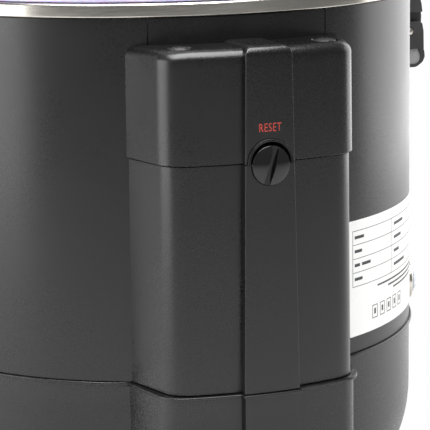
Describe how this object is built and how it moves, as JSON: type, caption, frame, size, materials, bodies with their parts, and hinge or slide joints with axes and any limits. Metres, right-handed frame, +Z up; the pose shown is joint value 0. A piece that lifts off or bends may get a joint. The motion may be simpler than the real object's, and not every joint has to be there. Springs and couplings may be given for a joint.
{
  "type": "electric pressure cooker",
  "caption": "Large round electric pressure cooker with twist-lock lid, inner pot, rear service housing with reset cap, side drop handles and front control panel.",
  "frame": {"origin": "centre of the bounding box in X and Y, on the plane that the feet stand on; the body's axis passes through it", "axes": "+Z up along the body's axis, +Y towards the rear service housing, -Y towards the control panel, +X towards the power inlet side"},
  "size_m": [0.3564, 0.4003, 0.3798],
  "materials": {
    "shell_paint": "satin black powder coat with a fine grain",
    "black_plastic": "satin moulded black with a fine grain",
    "gloss_black": "smooth polished black",
    "grey_plastic": "satin dark grey moulding",
    "pale_plastic": "satin light grey moulding",
    "red_plastic": "glossy red moulding",
    "stainless": "brushed stainless steel",
    "aluminium": "satin aluminium",
    "rubber": "matt black rubber",
    "lilac_silicone": "translucent lilac silicone",
    "white_silicone": "translucent white silicone",
    "smoked_glass": "smoked clear window",
    "clear_lens": "clear domed lamp lens",
    "circuit_board": "green solder mask",
    "label_film": "white satin label film"
  },
  "bodies": {
    "base": {"base_skirt": "black_plastic", "seam_trim": "black_plastic", "bottom_cover": "black_plastic", "foot_1": "rubber", "foot_2": "rubber", "foot_3": "rubber", "foot_4": "rubber", "power_inlet": "gloss_black", "outer_shell": "shell_paint", "rear_panel": "shell_paint", "rim_ring": "stainless", "rim_seal": "lilac_silicone", "housing_upper_cover": "black_plastic", "housing_lower_cover": "black_plastic", "centre_strip_upper": "black_plastic", "centre_strip_lower": "black_plastic", "reset_collar": "black_plastic", "thermal_cutout": "gloss_black", "screw_cover_left": "pale_plastic", "screw_cover_right": "pale_plastic", "handle_bracket_left": "grey_plastic", "handle_pin_left": "stainless", "handle_bracket_right": "grey_plastic", "handle_pin_right": "stainless", "rating_label": "label_film", "lamp_bezel": "stainless", "lamp_lens": "clear_lens", "control_panel": "gloss_black", "display_window": "smoked_glass", "control_board": "circuit_board", "pot_liner": "aluminium", "locking_ring": "stainless", "heating_plate": "aluminium", "sensor_bracket": "stainless", "sensor_spring": "stainless", "pressure_switch": "black_plastic"},
    "pot": {"inner_pot": "aluminium"},
    "seal": {"sealing_ring": "white_silicone"},
    "lid": {"lid_cover": "black_plastic", "lid_plate": "stainless", "lid_centre_nut": "stainless", "valve_stem": "stainless", "anti_block_shield": "stainless", "lid_grip": "gloss_black"},
    "steam_valve": {"steam_valve_knob": "black_plastic"},
    "float": {"float_pin": "red_plastic", "float_seal": "white_silicone"},
    "cap_seal": {"reset_cap_seal": "rubber"},
    "cap": {"reset_cap": "gloss_black"},
    "reset": {"reset_button": "red_plastic"},
    "sensor": {"temperature_sensor": "aluminium"},
    "grip_left": {"handle_grip_left": "grey_plastic"},
    "grip_right": {"handle_grip_right": "grey_plastic"},
    "start": {"button_start": "pale_plastic"},
    "timer": {"button_timer": "pale_plastic"},
    "keep_warm": {"button_keep_warm": "pale_plastic"},
    "cancel": {"button_cancel": "pale_plastic"},
    "knob": {"selector_knob": "stainless"}
  },
  "joints": [
    {"name": "lid_lift", "type": "slide", "parent": "base", "child": "seal", "axis": [0, 0, 1], "range_m": [0, 0.3]},
    {"name": "lid_twist", "type": "hinge", "parent": "seal", "child": "lid", "pos_m": [0, 0, 0.3], "axis": [0, 0, 1], "range_deg": [-30, 0]},
    {"name": "pot_lift", "type": "slide", "parent": "base", "child": "pot", "axis": [0, 0, 1], "range_m": [0, 0.15]},
    {"name": "valve_turn", "type": "hinge", "parent": "lid", "child": "steam_valve", "pos_m": [0, 0.084, 0.36], "axis": [0, 0, 1], "range_deg": [0, 40]},
    {"name": "float_rise", "type": "slide", "parent": "lid", "child": "float", "axis": [0, 0, 1], "range_m": [0, 0.005]},
    {"name": "cap_pull", "type": "slide", "parent": "base", "child": "cap_seal", "axis": [0, 1, 0], "range_m": [0, 0.03]},
    {"name": "cap_turn", "type": "hinge", "parent": "cap_seal", "child": "cap", "pos_m": [0, 0.19, 0.2222], "axis": [0, 1, 0], "range_deg": [0, 90]},
    {"name": "reset_press", "type": "slide", "parent": "base", "child": "reset", "axis": [0, -1, 0], "range_m": [0, 0.0015], "stiffness_N_per_m": 400},
    {"name": "sensor_press", "type": "slide", "parent": "base", "child": "sensor", "axis": [0, 0, -1], "range_m": [0, 0.004], "stiffness_N_per_m": 800, "springref_m": -0.002, "deforming": ["sensor_spring"]},
    {"name": "left_grip_swing", "type": "hinge", "parent": "base", "child": "grip_left", "pos_m": [-0.166, 0, 0.2673], "axis": [0, 1, 0], "range_deg": [0, 85]},
    {"name": "right_grip_swing", "type": "hinge", "parent": "base", "child": "grip_right", "pos_m": [0.166, 0, 0.2673], "axis": [0, -1, 0], "range_deg": [0, 85]},
    {"name": "start_press", "type": "slide", "parent": "base", "child": "start", "axis": [-0.3256, 0.9455, 0], "range_m": [0, 0.0012], "stiffness_N_per_m": 500},
    {"name": "timer_press", "type": "slide", "parent": "base", "child": "timer", "axis": [-0.1994, 0.9799, 0], "range_m": [0, 0.0012], "stiffness_N_per_m": 500},
    {"name": "keep_warm_press", "type": "slide", "parent": "base", "child": "keep_warm", "axis": [0.1994, 0.9799, 0], "range_m": [0, 0.0012], "stiffness_N_per_m": 500},
    {"name": "cancel_press", "type": "slide", "parent": "base", "child": "cancel", "axis": [0.3256, 0.9455, 0], "range_m": [0, 0.0012], "stiffness_N_per_m": 500},
    {"name": "knob_turn", "type": "hinge", "parent": "base", "child": "knob", "pos_m": [0, -0.18, 0.1433], "axis": [0, -1, 0], "range_deg": [-150, 150]}
  ],
  "couplings": [
    {"joint": "pot_lift", "follows": "lid_lift", "ratio": 0.5}
  ]
}
